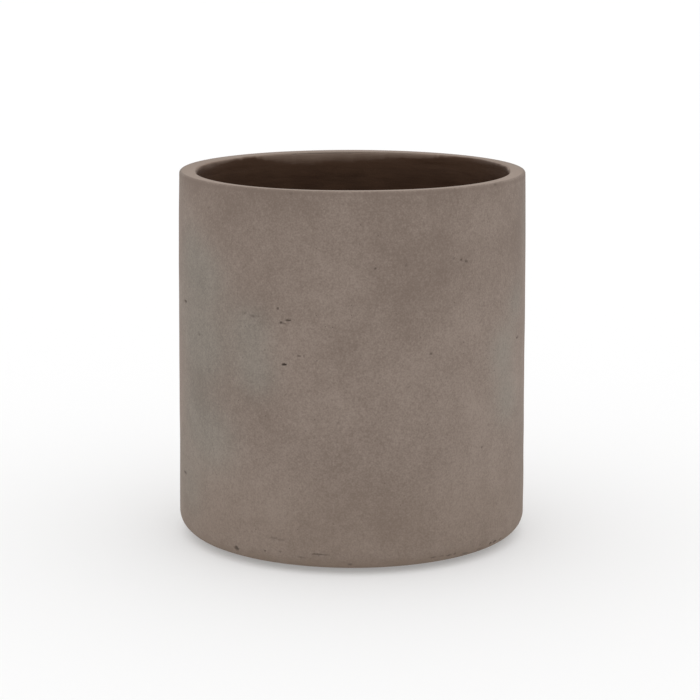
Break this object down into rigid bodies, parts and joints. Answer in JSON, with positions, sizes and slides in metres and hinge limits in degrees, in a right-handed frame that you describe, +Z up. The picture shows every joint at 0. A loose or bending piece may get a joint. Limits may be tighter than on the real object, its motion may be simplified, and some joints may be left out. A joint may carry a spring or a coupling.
{
  "type": "flower pot",
  "caption": "Straight-sided round cast-cement floor planter, open at the top, sealed inside, with a drain closed by a lift-out rubber stopper and rubber feet.",
  "frame": {"origin": "centre of the footprint, on the floor under the rubber feet", "axes": "+Z up along the pot's axis, towards the open rim; +X and +Y each between two feet"},
  "size_m": [0.2999, 0.3, 0.315],
  "materials": {
    "cement": "matte",
    "seal_coat": "matte",
    "stopper_rubber": "matte",
    "foot_rubber": "matte"
  },
  "bodies": {
    "pot": {"pot_shell": "cement", "inner_seal_coat": "seal_coat", "rubber_foot_1": "foot_rubber", "rubber_foot_2": "foot_rubber", "rubber_foot_3": "foot_rubber", "rubber_foot_4": "foot_rubber"},
    "stopper": {"drain_stopper": "stopper_rubber"}
  },
  "joints": [
    {"name": "stopper_lift", "type": "slide", "parent": "pot", "child": "stopper", "axis": [0, 0, 1], "range_m": [0, 0.315]}
  ]
}
